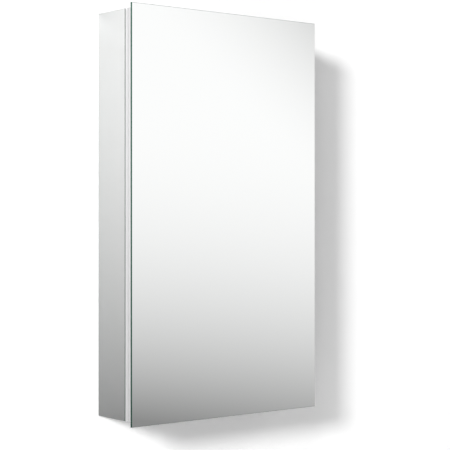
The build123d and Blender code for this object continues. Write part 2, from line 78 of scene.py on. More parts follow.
# ------------------------------------------------------------------ settings


def colour(name, description, default):
    """A colour property."""
    return FloatVectorProperty(
        name=name, description=description, default=default, size=3, min=0.0, max=1.0,
        subtype="COLOR",
    )


def length(name, description, default):
    """A length property, in metres."""
    return FloatProperty(
        name=name, description=description, default=default, min=0.0, precision=5,
        subtype="DISTANCE", unit="LENGTH",
    )


def share(name, description, default):
    """A property from 0 to 1."""
    return FloatProperty(
        name=name, description=description, default=default, min=0.0, max=1.0, subtype="FACTOR"
    )


def amount(name, description, default, unit="NONE"):
    """A property from 0 up, such as a light's power."""
    return FloatProperty(name=name, description=description, default=default, min=0.0, unit=unit)


class CabinetMirrors(bpy.types.PropertyGroup):
    """Mirror glass of the door, the sides, the back and the inside of the door."""

    silver: colour("Silver", "Colour of the silvering behind the glass", (0.957, 0.965, 0.960))
    edge: colour("Edge", "Colour of the polished glass edge", (0.045, 0.155, 0.110))
    arris: colour("Arris", "Colour of the corner between face and edge", (0.022, 0.075, 0.055))
    back_paint: colour("Back paint", "Colour of the paint on the silvering", (0.30, 0.33, 0.33))
    haze: share("Haze", "Roughness of the mirror faces", 0.012)


class CabinetMetals(bpy.types.PropertyGroup):
    """Metals of the body, the door frame, the hinge and the fixings."""

    aluminium: colour("Aluminium", "Colour of the satin anodised profiles", (0.655, 0.655, 0.66))
    sheet: colour("Back sheet", "Colour of the mill-finish back sheet", (0.72, 0.73, 0.74))
    stainless: colour("Stainless", "Colour of the hinge and the strikes", (0.64, 0.64, 0.65))
    zinc: colour("Zinc", "Colour of the plated screws", (0.70, 0.71, 0.73))
    satin: share("Satin", "Roughness of the anodised profiles", 0.42)
    corner: length("Corner", "Rounding of the profiles' corners", 0.3 * MM)


class CabinetFittings(bpy.types.PropertyGroup):
    """Plastics, pads, tapes and glass shelves."""

    plastic: colour("Plastic", "Colour of the housings, plugs and bushes", (0.84, 0.84, 0.82))
    pad: colour("Pads", "Colour of the clear soft pads", (0.88, 0.90, 0.90))
    foam: colour("Tape", "Colour of the foam tapes", (0.06, 0.06, 0.065))
    board: colour("Backing board", "Colour of the door's backing board", (0.62, 0.60, 0.55))
    magnet: colour("Magnets", "Colour of the catch magnets", (0.05, 0.05, 0.055))
    shelf: colour("Shelf glass", "Tint of the shelves through their faces", (0.955, 0.985, 0.975))
    shelf_edge: colour("Shelf edge", "Tint of the shelves into their edges", (0.42, 0.72, 0.62))


class CabinetFixings(bpy.types.PropertyGroup):
    """Shapes of the repeated fixings."""

    recess_span: share(
        "Recess span", "Length of the cross recess, as a share of the head's diameter", 0.55
    )
    recess_width: share(
        "Recess width", "Width of the cross recess, as a share of the head's radius", 0.22
    )
    recess_depth: share(
        "Recess depth", "Depth of the cross recess, as a share of the head's depth", 0.7
    )
    thread_pitch: length("Thread pitch", "Distance between two turns of the thread", 1.0 * MM)
    edge: length("Edge", "Rounding of the fixings' edges", 0.12 * MM)
    seed: IntProperty(name="Seed", description="Seed of each screw's turn", default=7, min=0)
    knuckles: IntProperty(
        name="Knuckles", description="Knuckles along the hinge", default=25, min=3
    )


class CabinetStage(bpy.types.PropertyGroup):
    """Wall, floor, light and camera."""

    wall: colour("Wall", "Colour of the wall", (0.82, 0.82, 0.82))
    floor: colour("Floor", "Colour of the floor", (0.65, 0.65, 0.65))
    key: amount("Key", "Power of the key light in watts", 492.0, "POWER")
    back_key: amount("Back light", "Power of the light behind the wall in watts", 40.0, "POWER")
    key_size: length("Key size", "Diameter of the round key light", 1.4)
    fill: amount("Fill", "Strength of the even light all round", 0.50)
    lens: amount("Lens", "Focal length of the camera in millimetres", 106.5, "CAMERA")
    floor_drop: length("Floor drop", "Distance from the cabinet's middle to the floor", 1.2)


# ------------------------------------------------------------------ node trees in code


class Wire:
    """An output socket that stands in sums, products, quotients and powers like a number."""

    def __init__(self, graph, socket):
        self.graph = graph
        self.socket = socket

    def math(self, operation, other=0.0, reflected=False):
        """One Math node on this wire and another number or wire."""
        pair = (other, self) if reflected else (self, other)
        return self.graph.node("ShaderNodeMath", {"operation": operation}, dict(enumerate(pair)))

    def also(self, output):
        """Another output of the node that this wire comes from."""
        return Wire(self.graph, self.socket.node.outputs[output])

    def at_least(self, low):
        """This wire, with a lower limit."""
        return self.math("MAXIMUM", low)

    def at_most(self, high):
        """This wire, with an upper limit."""
        return self.math("MINIMUM", high)

    def __add__(self, other):
        return self.math("ADD", other)

    def __sub__(self, other):
        return self.math("SUBTRACT", other)

    def __rsub__(self, other):
        return self.math("SUBTRACT", other, reflected=True)

    def __mul__(self, other):
        return self.math("MULTIPLY", other)

    def __truediv__(self, other):
        return self.math("DIVIDE", other)

    def __pow__(self, other):
        return self.math("POWER", other)

    def __neg__(self):
        return self.math("MULTIPLY", -1.0)

    def __abs__(self):
        return self.math("ABSOLUTE")

    __radd__ = __add__
    __rmul__ = __mul__


# Numbers of node sockets whose names aren't their own
COLOUR_A, COLOUR_B, COLOUR_MIXED = 6, 7, 2
FLOAT_MIN, FLOAT_MAX, FLOAT_VALUE = 2, 3, 1


class Graph:
    """A node tree written as Python expressions."""

    def __init__(self, tree):
        self.tree = tree

    def node(self, kind, settings=None, sockets=None, output=0):
        """Adds a node, applies its settings, fills its sockets and returns one of its outputs."""
        made = self.tree.nodes.new(kind)
        for key, value in (settings or {}).items():
            setattr(made, key, value)
        for key, value in (sockets or {}).items():
            for one in value if isinstance(value, list) else [value]:
                if isinstance(one, Wire):
                    self.tree.links.new(one.socket, made.inputs[key])
                else:
                    made.inputs[key].default_value = one
        return Wire(self, made.outputs[output]) if made.outputs else None

    def mix(self, factor, a, b):
        """Mixes two colours, given as three numbers each."""
        sockets = {"Factor": factor, COLOUR_A: (*a, 1.0), COLOUR_B: (*b, 1.0)}
        return self.node("ShaderNodeMix", {"data_type": "RGBA"}, sockets, output=COLOUR_MIXED)

    def split(self, vector):
        """The X, Y and Z of a vector wire."""
        x = self.node("ShaderNodeSeparateXYZ", None, {"Vector": vector})
        return x, x.also("Y"), x.also("Z")

    def rays(self):
        """Two wires: 1 for what the camera sees, and 1 for what it sees in a mirror or glass."""
        camera = self.node("ShaderNodeLightPath", output="Is Camera Ray")
        return camera, camera.also("Is Glossy Ray").at_least(camera.also("Is Transmission Ray"))


class Shader(Graph):
    """A material's tree."""

    def __init__(self, name):
        self.material = bpy.data.materials.new(name)
        self.material.use_nodes = True
        super().__init__(self.material.node_tree)
        self.tree.nodes.clear()

    def place(self):
        """Object coordinates, in metres."""
        return self.node("ShaderNodeTexCoord", output="Object")

    def noise(self, per_metre, detail=2.0, roughness=0.5):
        """Noise from 0 to 1, with its number of grains per metre, or one for each of X, Y, Z."""
        grains = (per_metre,) * 3 if isinstance(per_metre, float) else per_metre
        scaled = self.node("ShaderNodeMapping", None, {"Vector": self.place(), "Scale": grains})
        sockets = {"Vector": scaled, "Scale": 1.0, "Detail": detail, "Roughness": roughness}
        return self.node("ShaderNodeTexNoise", None, sockets)

    def bump(self, height, strength, distance=0.1 * MM):
        """A normal from a height."""
        sockets = {"Strength": strength, "Distance": distance, "Height": height}
        return self.node("ShaderNodeBump", None, sockets)

    def surface(self, **sockets):
        """Ends the material in a Principled BSDF; underscores in the names stand for spaces."""
        named = {key.replace("_", " "): value for key, value in sockets.items()}
        return self.ended(self.node("ShaderNodeBsdfPrincipled", None, named))

    def ended(self, shader):
        """Ends the material in any shader."""
        self.node("ShaderNodeOutputMaterial", None, {"Surface": shader})
        return self.material


CUT_MERGE = 0.004 * MM
EDGE_ANGLE = math.radians(40)


class Fixing(Graph):
    """A Geometry Nodes tree that sets one fixing on every point, turned as the point says."""

    KINDS = {
        float: "NodeSocketFloat", int: "NodeSocketInt", bpy.types.Material: "NodeSocketMaterial"
    }

    def __init__(self, name, sizes):
        super().__init__(bpy.data.node_groups.new(name, "GeometryNodeTree"))
        face = self.tree.interface
        face.new_socket("Points", in_out="INPUT", socket_type="NodeSocketGeometry")
        self.sockets = {}
        for key, value in sizes.items():
            kind = self.KINDS[type(value)]
            socket = face.new_socket(key, in_out="INPUT", socket_type=kind)
            self.sockets[socket.identifier] = value
        face.new_socket("Fixings", in_out="OUTPUT", socket_type="NodeSocketGeometry")
        self.source = self.tree.nodes.new("NodeGroupInput")

    def given(self, *keys):
        """The tree's named inputs."""
        wires = [Wire(self, self.source.outputs[key]) for key in keys]
        return wires if len(wires) > 1 else wires[0]

    def vector(self, x=0.0, y=0.0, z=0.0):
        """A vector of three numbers or wires."""
        return self.node("ShaderNodeCombineXYZ", None, {"X": x, "Y": y, "Z": z})

    def moved(self, part, x=0.0, y=0.0, z=0.0, turn=(0.0, 0.0, 0.0), scale=(1.0, 1.0, 1.0)):
        """A part scaled, turned and moved."""
        place = self.vector(x, y, z)
        sockets = {"Geometry": part, "Translation": place, "Rotation": turn, "Scale": scale}
        return self.node("GeometryNodeTransform", None, sockets)

    def cone(self, radius_low, radius_high, low, depth, sides=24):
        """A cone or a cylinder that stands on a height."""
        sockets = {
            "Vertices": sides, "Radius Top": radius_high, "Radius Bottom": radius_low,
            "Depth": depth,
        }
        return self.moved(self.node("GeometryNodeMeshCone", None, sockets), z=low)

    def block(self, x, y, z):
        """A block centred on the origin."""
        return self.node("GeometryNodeMeshCube", None, {"Size": self.vector(x, y, z)})

    def bar(self, x, y, z, low):
        """A block centred on the axis that stands on a height."""
        return self.moved(self.block(x, y, z), z=low + z / 2)

    def swept(self, path, section):
        """A section carried along a path, with closed ends."""
        sockets = {"Curve": path, "Profile Curve": section, "Fill Caps": True}
        return self.node("GeometryNodeCurveToMesh", None, sockets)

    def cut(self, part, tool):
        """A part with a tool taken away, its cut edges closed up."""
        sockets = {"Mesh 1": part, "Mesh 2": tool}
        left = self.node("GeometryNodeMeshBoolean", {"operation": "DIFFERENCE"}, sockets)
        sockets = {"Geometry": left, "Distance": CUT_MERGE}
        return self.node("GeometryNodeMergeByDistance", None, sockets)

    def joined(self, *parts):
        """Several parts as one."""
        return self.node("GeometryNodeJoinGeometry", None, {"Geometry": list(parts)})

    def spread(self, part, roll=None):
        """Ends the tree: the part on every point, rolled about its own axis, as plain faces."""
        kind = {"data_type": "FLOAT_VECTOR"}
        turn = self.node("GeometryNodeInputNamedAttribute", kind, {"Name": "turn"})
        turn = self.node("FunctionNodeEulerToRotation", None, {"Euler": turn})
        if roll is not None:
            sockets = {"Axis": (0.0, 0.0, 1.0), "Angle": roll}
            own = self.node("FunctionNodeAxisAngleToRotation", None, sockets)
            sockets = {"Rotation": turn, "Rotate By": own}
            turn = self.node("FunctionNodeRotateRotation", {"rotation_space": "LOCAL"}, sockets)
        points, finish = self.given("Points", "Finish")
        sockets = {"Points": points, "Instance": part, "Rotation": turn}
        copies = self.node("GeometryNodeInstanceOnPoints", None, sockets)
        plain = self.node("GeometryNodeRealizeInstances", None, {"Geometry": copies})
        sockets = {"Geometry": plain, "Material": finish}
        dressed = self.node("GeometryNodeSetMaterial", None, sockets)
        self.node("NodeGroupOutput", None, {"Fixings": dressed})

    def grown(self, spots, edge):
        """A bmesh of the fixings on points, given as (place, rotation), with rounded edges."""
        data = bpy.data.meshes.new("spots")
        data.from_pydata([place for place, turn in spots], [], [])
        turns = data.attributes.new("turn", "FLOAT_VECTOR", "POINT")
        for item, (place, turn) in zip(turns.data, spots):
            item.vector = turn.to_euler()
        carrier = bpy.data.objects.new("spots", data)
        bpy.context.scene.collection.objects.link(carrier)
        modifier = carrier.modifiers.new("fixing", "NODES")
        modifier.node_group = self.tree
        for identifier, value in self.sockets.items():
            modifier[identifier] = value
        rounding = carrier.modifiers.new("edges", "BEVEL")
        rounding.width, rounding.segments = edge, 2
        rounding.limit_method, rounding.angle_limit = "ANGLE", EDGE_ANGLE
        graph = bpy.context.evaluated_depsgraph_get()
        evaluated = carrier.evaluated_get(graph)
        plain = bpy.data.meshes.new_from_object(evaluated, depsgraph=graph)
        carrier.modifiers.clear()
        bpy.data.objects.remove(carrier)
        mesh = bmesh.new()
        mesh.from_mesh(plain)
        bpy.data.meshes.remove(plain)
        for face in mesh.faces:
            face.material_index = 0
        return mesh


# In depths of the head
SHANK_START = 0.9
THREAD_START = 1.5
DIMPLE_DEPTH = 0.7
# In depths of the recess's first bar, so that the floors of the two don't meet
SECOND_BAR = 0.92
# In radii of the shank
CORE_RADIUS = 0.80
POINT_LENGTH = 1.5
THREAD_RADIUS = 0.84
THREAD_HEIGHT = 0.15
DIMPLE_FLOOR = 0.45
DIMPLE_MOUTH = 0.62
# In radii of the core
TIP_RADIUS = 0.1
# In radii of the shelf pin's barrel, and in widths and thicknesses of its tongue
PIN_CHAMFER = 0.25
NOSE_RADIUS = 0.499
NOSE_THICKNESS = 0.98
# In thicknesses and in radii of the pad
FOOT_HEIGHT = 0.6
CROWN_START = 0.5
CROWN_FOOT = 0.97
CROWN_TOP = 0.84


def screw_tree(sizes):
    """A countersunk screw, head at the origin, shank down the axis: recess, thread and point."""
    g = Fixing("countersunk_screw", sizes)
    head, sink, shank, reach = g.given("Head radius", "Head depth", "Shank radius", "Length")
    span, width, drop, pitch = g.given(
        "Recess span", "Recess width", "Recess depth", "Thread pitch"
    )
    depth, core, point = drop * sink, shank * CORE_RADIUS, shank * POINT_LENGTH
    long, narrow = head * span * 2.0, head * width
    slotted = g.cone(shank, head, -sink, sink)
    for x, y, level in ((long, narrow, 1.0), (narrow, long, SECOND_BAR)):
        slotted = g.cut(slotted, g.bar(x, y, depth * 2.0, depth * -level))
    body = g.cone(core, core, point - reach, reach - point - sink * SHANK_START, sides=16)
    tip = g.cone(core * TIP_RADIUS, core, -reach, point, sides=16)
    run, radius = reach - sink * THREAD_START - point, shank * THREAD_RADIUS
    spiral = g.node("GeometryNodeCurveSpiral", None, {
        "Resolution": 14, "Rotations": run / pitch, "Start Radius": radius,
        "End Radius": radius, "Height": run,
    })
    sockets = {"Resolution": 4, "Radius": shank * THREAD_HEIGHT}
    ridge = g.node("GeometryNodeCurvePrimitiveCircle", None, sockets)
    thread = g.swept(g.moved(spiral, z=point - reach), ridge)
    sockets = {FLOAT_MIN: 0.0, FLOAT_MAX: math.pi, "Seed": g.given("Seed")}
    kind = {"data_type": "FLOAT"}
    roll = g.node("FunctionNodeRandomValue", kind, sockets, output=FLOAT_VALUE)
    g.spread(g.joined(slotted, body, tip, thread), roll)
    return g


def rivet_tree(sizes):
    """A blind rivet: dimpled countersunk head at the origin, shank and flattened bulb."""
    g = Fixing("blind_rivet", sizes)
    head, sink, shank, reach = g.given("Head radius", "Head depth", "Shank radius", "Length")
    bulb, bulb_depth = g.given("Bulb radius", "Bulb depth")
    dimple = g.cone(
        shank * DIMPLE_FLOOR, shank * DIMPLE_MOUTH, sink * -DIMPLE_DEPTH, sink, sides=16
    )
    top = g.cut(g.cone(shank, head, -sink, sink, sides=28), dimple)
    body = g.cone(shank, shank, -reach, reach - sink * SHANK_START, sides=20)
    sockets = {"Segments": 20, "Rings": 10, "Radius": 0.5}
    ball = g.node("GeometryNodeMeshUVSphere", None, sockets)
    size = g.vector(bulb * 2.0, bulb * 2.0, bulb_depth)
    blind = g.moved(ball, z=bulb_depth * -0.5 - reach, scale=size)
    g.spread(g.joined(top, body, blind))
    return g


def shelf_pin_tree(sizes):
    """A shelf pin, wall at the origin: chamfered barrel, collar and round-ended tongue."""
    g = Fixing("shelf_pin", sizes)
    barrel, barrel_length, collar, collar_depth = g.given(
        "Barrel radius", "Barrel length", "Collar radius", "Collar depth"
    )
    thick, wide, out = g.given("Tongue thickness", "Tongue width", "Tongue length")
    chamfer = barrel * PIN_CHAMFER
    stem = g.cone(barrel, barrel, chamfer - barrel_length, barrel_length - chamfer)
    lead = g.cone(barrel * (1 - PIN_CHAMFER), barrel, -barrel_length, chamfer)
    ring = g.cone(collar, collar, 0.0, collar_depth, sides=32)
    middle = collar_depth + (out - wide / 2)
    blade = g.bar(wide, thick, middle, 0.0)
    sockets = {"Vertices": 32, "Radius": wide * NOSE_RADIUS, "Depth": thick * NOSE_THICKNESS}
    nose = g.node("GeometryNodeMeshCylinder", None, sockets)
    nose = g.moved(nose, z=middle, turn=(math.radians(90), 0.0, 0.0))
    g.spread(g.joined(stem, lead, ring, blade, nose))
    return g


def bush_tree(sizes):
    """A flanged bush, flange face at the origin, open along its axis."""
    g = Fixing("flanged_bush", sizes)
    radius, bore, reach = g.given("Radius", "Bore", "Length")
    flange, flange_depth = g.given("Flange radius", "Flange")
    rim = g.cone(flange, flange, -flange_depth, flange_depth, sides=48)
    sleeve = g.cone(radius, radius, -reach, reach - flange_depth * 0.5, sides=48)
    sockets = {"Mesh 2": [rim, sleeve]}
    whole = g.node("GeometryNodeMeshBoolean", {"operation": "UNION"}, sockets)
    g.spread(g.cut(whole, g.cone(bore, bore, reach * -1.5, reach * 2.0, sides=48)))
    return g


def pad_tree(sizes):
    """A soft round pad with a rounded rim, standing on the origin."""
    g = Fixing("soft_round_pad", sizes)
    radius, thick = g.given("Radius", "Thickness")
    foot = g.cone(radius, radius, 0.0, thick * FOOT_HEIGHT, sides=28)
    crown = g.cone(
        radius * CROWN_FOOT, radius * CROWN_TOP, thick * CROWN_START, thick * (1 - CROWN_START),
        sides=28,
    )
    g.spread(g.joined(foot, crown))
    return g


def knuckle_tree(sizes):
    """A rolled knuckle, centred on the origin: the leaf's tab and its roll around the pin."""
    g = Fixing("rolled_knuckle", sizes)
    outer, bore, long, thick = g.given("Radius", "Bore", "Length", "Leaf thickness")
    start, sweep, offset, reach = g.given("Roll start", "Roll sweep", "Leaf offset", "Leaf reach")
    middle = (outer + bore) / 2
    sockets = {"Resolution": 22, "Radius": middle, "Start Angle": start, "Sweep Angle": sweep}
    arc = g.node("GeometryNodeCurveArc", {"mode": "RADIUS"}, sockets)
    sockets = {"Width": outer - bore, "Height": long}
    section = g.node("GeometryNodeCurvePrimitiveQuadrilateral", None, sockets)
    tab_length = reach - middle
    tab = g.moved(g.block(tab_length, thick, long), x=tab_length * -0.5 - middle, y=offset)
    g.spread(g.joined(g.swept(arc, section), tab))
    return g


# ------------------------------------------------------------------ finishes

FINISHES = {}
# Grains per metre along X, Y and Z
DRAWN_UPRIGHT, DRAWN_LEVEL = (1800.0, 1800.0, 3.0), (3.0, 1800.0, 1800.0)
ROLLED_UPRIGHT, BRUSHED_UPRIGHT = (900.0, 900.0, 2.0), (2600.0, 2600.0, 12.0)
PLATED = 420.0


def shaded(base, part):
    """A colour with part of its light."""
    return tuple(c * part for c in base)


def metal(name, base, roughness, grains, variation=0.06, strength=0.12, metallic=1.0):
    """A drawn, rolled or brushed metal, whose lines run where the grains per metre are few."""
    s = Shader(name)
    lines = s.noise(grains, detail=3.0, roughness=0.6)
    cloud = s.noise(9.0)
    return s.surface(
        Base_Color=s.mix(lines * 0.5 + cloud * 0.5, base, shaded(base, 1 - variation)),
        Metallic=metallic,
        Roughness=roughness + (lines - 0.5) * 0.10 + (cloud - 0.5) * 0.06,
        Normal=s.bump(lines, strength, 0.03 * MM),
    )


def moulded(name, base, roughness=0.42, strength=0.15, grain=900.0):
    """A moulded plastic with a fine sparked texture."""
    s = Shader(name)
    fine = s.noise(grain, detail=3.0)
    flow = s.noise((25.0, 25.0, 60.0))
    return s.surface(
        Base_Color=s.mix(flow * 0.7, base, shaded(base, 0.94)),
        Roughness=roughness + (fine - 0.5) * 0.12,
        Normal=s.bump(fine, strength, 0.05 * MM),
    )


def mirror_face(silver, roughness):
    """Silvering under clear glass, with a trace of haze."""
    s = Shader("mirror_face")
    haze = s.noise(6.0, detail=4.0)
    tone = s.mix(haze * 0.5, silver, shaded(silver, 0.995))
    return s.surface(Base_Color=tone, Metallic=1.0, Roughness=roughness + haze * 0.006)


def glass_edge(name, base, roughness, metallic):
    """Polished edge or seamed corner of a mirror, green from the depth of glass behind it."""
    s = Shader(name)
    ground = s.noise((1500.0, 1500.0, 40.0), detail=3.0)
    return s.surface(
        Base_Color=s.mix(ground, base, shaded(base, 0.85)), Metallic=metallic,
        Roughness=roughness + ground * 0.08, Specular_IOR_Level=0.3,
    )


def back_paint(base):
    """Protective paint on the back of the silvering, with a light orange peel."""
    s = Shader("mirror_back_paint")
    peel = s.noise(350.0, detail=1.0)
    tone = s.mix(s.noise(14.0), base, shaded(base, 0.88))
    return s.surface(Base_Color=tone, Roughness=0.42 + peel * 0.12, Normal=s.bump(peel, 0.25))


def foam(base):
    """Closed-cell foam tape."""
    s = Shader("foam_tape")
    sockets = {"Vector": s.place(), "Scale": 2500.0}
    cells = s.node("ShaderNodeTexVoronoi", {"feature": "F1"}, sockets)
    tone = s.mix(cells, base, shaded(base, 1.8))
    return s.surface(Base_Color=tone, Roughness=0.75 + cells * 0.2, Normal=s.bump(cells, 0.6))


def board(base):
    """Fibre board with fine flecks."""
    s = Shader("backing_board")
    flecks = s.noise((700.0, 700.0, 260.0), detail=4.0, roughness=0.7)
    tone = s.mix(flecks, base, shaded(base, 0.75))
    return s.surface(Base_Color=tone, Roughness=0.75 + flecks * 0.15, Normal=s.bump(flecks, 0.3))


def clear_glass(name, tint):
    """Clear glass: an even tint with a trace of streak."""
    s = Shader(name)
    streak = s.noise((3.0, 40.0, 40.0))
    return s.surface(
        Base_Color=s.mix(streak, tint, shaded(tint, 0.985)), Roughness=0.004 + streak * 0.004,
        Transmission_Weight=1.0, IOR=1.52,
    )


def soft_pad(base):
    """Clear soft plastic."""
    s = Shader("soft_pad")
    cloud = s.noise(500.0)
    return s.surface(
        Base_Color=s.mix(cloud, base, shaded(base, 0.93)), Roughness=0.28 + cloud * 0.1,
        Transmission_Weight=0.55, IOR=1.45,
    )


def make_finishes(scene):
    """Makes every finish of the cabinet, by name."""
    mirrors, metals = scene.cabinet_mirrors, scene.cabinet_metals
    fittings = scene.cabinet_fittings
    for way, grains in (("upright", DRAWN_UPRIGHT), ("level", DRAWN_LEVEL)):
        FINISHES["satin_" + way] = metal(
            "satin_aluminium_" + way, metals.aluminium, metals.satin, grains,
            variation=0.03, strength=0.08, metallic=0.40,
        )
    FINISHES.update(
        back_sheet=metal("back_sheet", metals.sheet, 0.36, ROLLED_UPRIGHT),
        stainless=metal(
            "brushed_stainless", metals.stainless, 0.27, BRUSHED_UPRIGHT,
            variation=0.10, strength=0.2,
        ),
        zinc=metal("zinc_plate", metals.zinc, 0.30, PLATED, variation=0.14, strength=0.1),
        mirror_face=mirror_face(mirrors.silver, mirrors.haze),
        mirror_edge=glass_edge("mirror_edge", mirrors.edge, roughness=0.10, metallic=1.0),
        mirror_arris=glass_edge("mirror_arris", mirrors.arris, roughness=0.60, metallic=0.0),
        mirror_back=back_paint(mirrors.back_paint),
        plastic=moulded("moulded_plastic", fittings.plastic),
        magnet=moulded(
            "magnet_face", fittings.magnet, roughness=0.5, strength=0.4, grain=1600.0
        ),
        foam=foam(fittings.foam),
        board=board(fittings.board),
        pad=soft_pad(fittings.pad),
        shelf_glass=clear_glass("clear_shelf_glass", fittings.shelf),
        shelf_edge=clear_glass("clear_shelf_edge", fittings.shelf_edge),
    )


# ------------------------------------------------------------------ mesh helpers

SAME_PLACE = 0.002 * MM
SAME_PLANE = math.radians(0.6)
LEAST_BEND = math.radians(0.5)
SMOOTH_ANGLE = math.radians(32)
NEIGHBOUR_AREA = 0.2


def merged_copy(node):
    """A bmesh of a CAD node with its loose triangles joined and its flat faces made whole."""
    mesh = bmesh.new()
    mesh.from_mesh(frame["nodes"][node].data)
    bmesh.ops.remove_doubles(mesh, verts=mesh.verts, dist=SAME_PLACE)
    bmesh.ops.dissolve_limit(
        mesh, angle_limit=SAME_PLANE, verts=mesh.verts, edges=mesh.edges, delimit={"NORMAL"}
    )
    return mesh


def is_curved(face):
    """Whether a face is one of several like it on a curve, not a flat one by a rounded edge."""
    area = face.calc_area() * NEIGHBOUR_AREA
    return any(
        LEAST_BEND < edge.calc_face_angle(0.0) < SMOOTH_ANGLE and other.calc_area() > area
        for edge in face.edges for other in edge.link_faces if other is not face
    )


def finished(name, mesh, materials, *nodes):
    """Turns a bmesh into a piece that rides on its CAD nodes' body and stands for them."""
    data = bpy.data.meshes.new(name)
    for face in mesh.faces:
        face.smooth = is_curved(face)
    mesh.to_mesh(data)
    mesh.free()
    old_normals = data.attributes.get("custom_normal")
    if old_normals:
        data.attributes.remove(old_normals)
    data.set_sharp_from_angle(angle=SMOOTH_ANGLE)
    piece = bpy.data.objects.new(name, data)
    bpy.context.scene.collection.objects.link(piece)
    for material in materials:
        data.materials.append(FINISHES[material])
    first = frame["nodes"][nodes[0]]
    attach(piece, first["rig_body"])
    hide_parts(*nodes)


def painted(finish, *nodes):
    """Gives CAD nodes, which stay as they are, one of the finishes."""
    for node in nodes:
        for place in frame["nodes"][node].material_slots:
            place.material = FINISHES[finish]


def eased(node, name, finish, radius, shortest):
    """A copy of a CAD node whose long sharp edges are rounded."""
    mesh = merged_copy(node)
    sharp = [
        e for e in mesh.edges
        if len(e.link_faces) == 2 and e.calc_face_angle() > EDGE_ANGLE
        and e.calc_length() > shortest
    ]
    bmesh.ops.bevel(
        mesh, geom=sharp, offset=radius, offset_type="OFFSET", segments=2, profile=0.5,
        affect="EDGES", clamp_overlap=True,
    )
    finished(name, mesh, [finish], node)


def islands(node):
    """The low and high corners of each separate solid of a CAD node."""
    mesh = merged_copy(node)
    left, found = set(mesh.verts), []
    while left:
        start = left.pop()
        group, rim = [start], [start]
        while rim:
            for edge in rim.pop().link_edges:
                for vert in edge.verts:
                    if vert in left:
                        left.remove(vert)
                        group.append(vert)
                        rim.append(vert)
        found.append([
            Vector([pick(v.co[k] for v in group) for k in range(3)]) for pick in (min, max)
        ])
    mesh.free()
    return sorted(found, key=lambda pair: tuple(round(c, 4) for c in pair[0]))


def spots_on(node, ways, start=1.0):
    """The point and rotation of each solid of a node, on its outer end or a share along it."""
    spots = []
    for low, high in islands(node):
        middle = (low + high) / 2
        way = Vector(ways(middle))
        half = abs((high - low).dot(way)) / 2
        spots.append((middle + way * half * (2 * start - 1), way.to_track_quat("Z", "Y")))
    return spots


# ------------------------------------------------------------------ stage

CAMERA_PLACE = (-1.3514, -1.8179, -0.0020)
CAMERA_TURN = math.radians(-38.127)
CAMERA_SHIFT = -0.0197
SENSOR_WIDTH = 36.0
KEY_PLACE = Vector((-5.78, -3.65, 1.87))
BACK_PLACE = Vector((1.5, 2.6, 1.6))
BACK_SIZE = 1.5


class StageStep(bpy.types.Operator):
    """Build the finishes, the wall, the floor, the lights and the camera"""

    bl_idname = "cabinet.stage"
    bl_label = "Stage"

    def execute(self, context):
        scene = context.scene
        scene.view_settings.view_transform = "Standard"
        make_finishes(scene)
        make_camera(scene, scene.cabinet_stage)
        make_lights(scene, scene.cabinet_stage)
        make_world(scene, scene.cabinet_stage)
        make_backdrop(scene.cabinet_stage)
        return {"FINISHED"}


def make_camera(scene, settings):
    """The camera at the photograph's place."""
    data = bpy.data.cameras.new("camera")
    data.lens = settings.lens
    data.sensor_width = SENSOR_WIDTH
    data.shift_y = CAMERA_SHIFT
    camera = bpy.data.objects.new("camera", data)
    camera.location = CAMERA_PLACE
    camera.rotation_euler = (math.radians(90), 0.0, CAMERA_TURN)
    scene.collection.objects.link(camera)
    scene.camera = camera


def make_lights(scene, settings):
    """The key light, and a light behind the wall for the cabinet's back."""
    for name, place, power, size in (
        ("key", KEY_PLACE, settings.key, settings.key_size),
        ("back_light", BACK_PLACE, settings.back_key, BACK_SIZE),
    ):
        data = bpy.data.lights.new(name, "AREA")
        data.shape = "DISK"
        data.energy = power
        data.size = size
        lamp = bpy.data.objects.new(name, data)
        lamp.location = place
        lamp.rotation_euler = place.to_track_quat("Z", "Y").to_euler()
        scene.collection.objects.link(lamp)


def make_world(scene, settings):
    """Even light all round, white to the camera and graded in mirrors and glass."""
    scene.world = bpy.data.worlds.new("studio")
    scene.world.use_nodes = True
    g = Graph(scene.world.node_tree)
    g.tree.nodes.clear()
    camera, mirrored = g.rays()
    grey = studio_grey(*g.split(g.node("ShaderNodeTexCoord")))
    level = settings.fill + mirrored * (grey - settings.fill)
    level = level + camera * (1.0 - level)
    sockets = {"Color": (1.0, 1.0, 1.0, 1.0), "Strength": level}
    background = g.node("ShaderNodeBackground", None, sockets)
    g.node("ShaderNodeOutputWorld", None, {"Surface": background})


STUDIO_WHITE = 1.018
STUDIO_TURN = 0.09
STUDIO_FALL = 24.2
STUDIO_POWER = 2.5
STUDIO_LEAN = 0.11
STUDIO_DARKEST = 0.27
CEILING_TURN = 0.09
CEILING_FALL = 19.0
CEILING_POWER = 2
CEILING_DARKEST = 0.55
MIRRORED_VIEW = (0.787, 0.617)
LEAN_LIMIT = 0.12


def studio_grey(x, y, rise):
    """Brightness of the studio by direction: white about the horizon, darker below and above."""
    aside = x * MIRRORED_VIEW[0] + y * MIRRORED_VIEW[1]
    aside = aside.at_most(LEAN_LIMIT).at_least(-LEAN_LIMIT)
    below = (STUDIO_TURN - rise - aside * STUDIO_LEAN).at_least(0.0)
    above = (rise + aside - CEILING_TURN).at_least(0.0)
    dimmed = (STUDIO_FALL * below**STUDIO_POWER).at_most(STUDIO_WHITE - STUDIO_DARKEST)
    shaded_above = (CEILING_FALL * above**CEILING_POWER).at_most(STUDIO_WHITE - CEILING_DARKEST)
    return STUDIO_WHITE - dimmed - shaded_above


